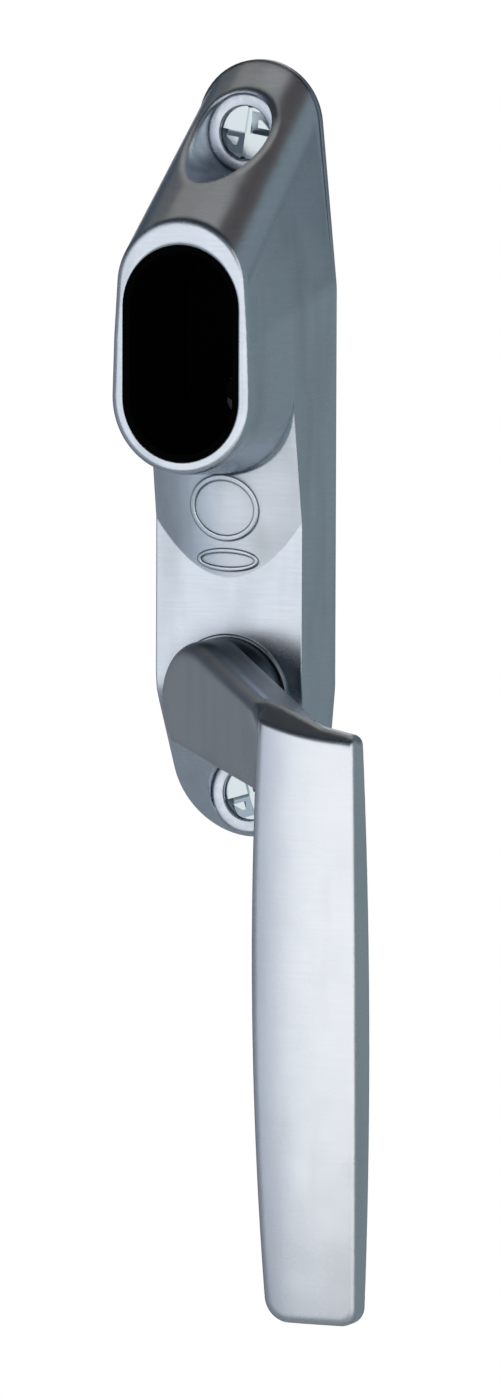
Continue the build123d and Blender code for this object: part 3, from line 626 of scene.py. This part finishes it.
for name, (centre, facing, width, height, dark, light) in CLOTHS.items():
    felt = bare_material(name + "_felt")
    tree = felt.node_tree
    place = add_node(tree, "ShaderNodeTexCoord", {})
    folds = add_node(
        tree,
        "ShaderNodeTexNoise",
        {"Vector": place.outputs["Object"], "Scale": 1 / FOLD_WIDTH, "Detail": 1.0},
    )
    shade = add_node(
        tree,
        "ShaderNodeMix",
        {"Factor": folds.outputs["Fac"], "A": linear(dark), "B": linear(light)},
        data_type="RGBA",
    )
    spill = add_node(
        tree, "ShaderNodeEmission", {"Color": shade.outputs["Result"], "Strength": 1.0}
    )
    add_node(tree, "ShaderNodeOutputMaterial", {"Surface": spill.outputs["Emission"]})
    sheet = bmesh.new()
    bmesh.ops.create_grid(sheet, x_segments=1, y_segments=1, size=0.5)
    bmesh.ops.scale(sheet, vec=(width, height, 1.0), verts=sheet.verts)
    turn = Vector(facing).normalized().to_track_quat("Z", "Y").to_matrix().to_4x4()
    bmesh.ops.transform(sheet, matrix=Matrix.Translation(centre) @ turn, verts=sheet.verts)
    cloth = add_piece(name, sheet, felt)
    cloth.visible_camera = False

# Studio light: a white surround and one soft lamp at the front left.
# The surround is plain white to the camera and in the metal, and a little dimmer as a light.
SURROUND_LIGHT, SURROUND_SEEN = 0.9, 1.0
world = bpy.data.worlds.new("white_surround")
bpy.context.scene.world = world
world.use_nodes = True
tree = world.node_tree
tree.nodes.clear()
path = add_node(tree, "ShaderNodeLightPath", {})
seen = add_node(
    tree,
    "ShaderNodeMath",
    {0: path.outputs["Is Camera Ray"], 1: path.outputs["Is Glossy Ray"]},
    operation="MAXIMUM",
)
shown = add_node(
    tree,
    "ShaderNodeMath",
    {0: seen.outputs["Value"], 1: path.outputs["Is Transmission Ray"]},
    operation="MAXIMUM",
)
level = add_node(
    tree,
    "ShaderNodeMapRange",
    {"Value": shown.outputs["Value"], "To Min": SURROUND_LIGHT, "To Max": SURROUND_SEEN},
)
white = add_node(
    tree, "ShaderNodeBackground", {"Color": linear("#FFFFFF"), "Strength": level.outputs["Result"]}
)
add_node(tree, "ShaderNodeOutputWorld", {"Surface": white.outputs["Background"]})

lamp = bpy.data.lights.new("soft_key", "AREA")
lamp.energy = 4.0
lamp.size = 1.2
key = bpy.data.objects.new("soft_key", lamp)
key.location = (-0.9, -1.4, 0.9)
key.rotation_mode = "QUATERNION"
key.rotation_quaternion = (-key.location).to_track_quat("-Z", "Y")
bpy.context.scene.collection.objects.link(key)

# Camera: a long lens 2.2 m away, 24 degrees to the right and 6 degrees above the spindle's axis.
# The picture is 1400 pixels high, and a metre at the spindle takes 5700 of them.
AZIMUTH, ELEVATION, ROLL = math.radians(24.0), math.radians(6.0), math.radians(0.2)
DISTANCE, SENSOR = 2.2, 36.0
PICTURE_HEIGHT, PIXELS_PER_METRE = 1400, 5700
SHIFT_RIGHT, SHIFT_UP = -10.0, -8.5
view = bpy.data.cameras.new("camera")
view.sensor_width = SENSOR
view.lens = SENSOR * PIXELS_PER_METRE * DISTANCE / PICTURE_HEIGHT
view.shift_x = SHIFT_RIGHT / PICTURE_HEIGHT
view.shift_y = SHIFT_UP / PICTURE_HEIGHT
view.clip_start, view.clip_end = 0.05, 50.0
camera = bpy.data.objects.new("camera", view)
towards = Vector(
    (
        math.sin(AZIMUTH) * math.cos(ELEVATION),
        -math.cos(AZIMUTH) * math.cos(ELEVATION),
        math.sin(ELEVATION),
    )
)
camera.location = towards * DISTANCE
camera.rotation_mode = "QUATERNION"
camera.rotation_quaternion = (
    Matrix.Rotation(ROLL, 3, towards) @ (-towards).to_track_quat("-Z", "Y").to_matrix()
).to_quaternion()
bpy.context.scene.collection.objects.link(camera)
bpy.context.scene.camera = camera
bpy.context.scene.view_settings.view_transform = "Standard"
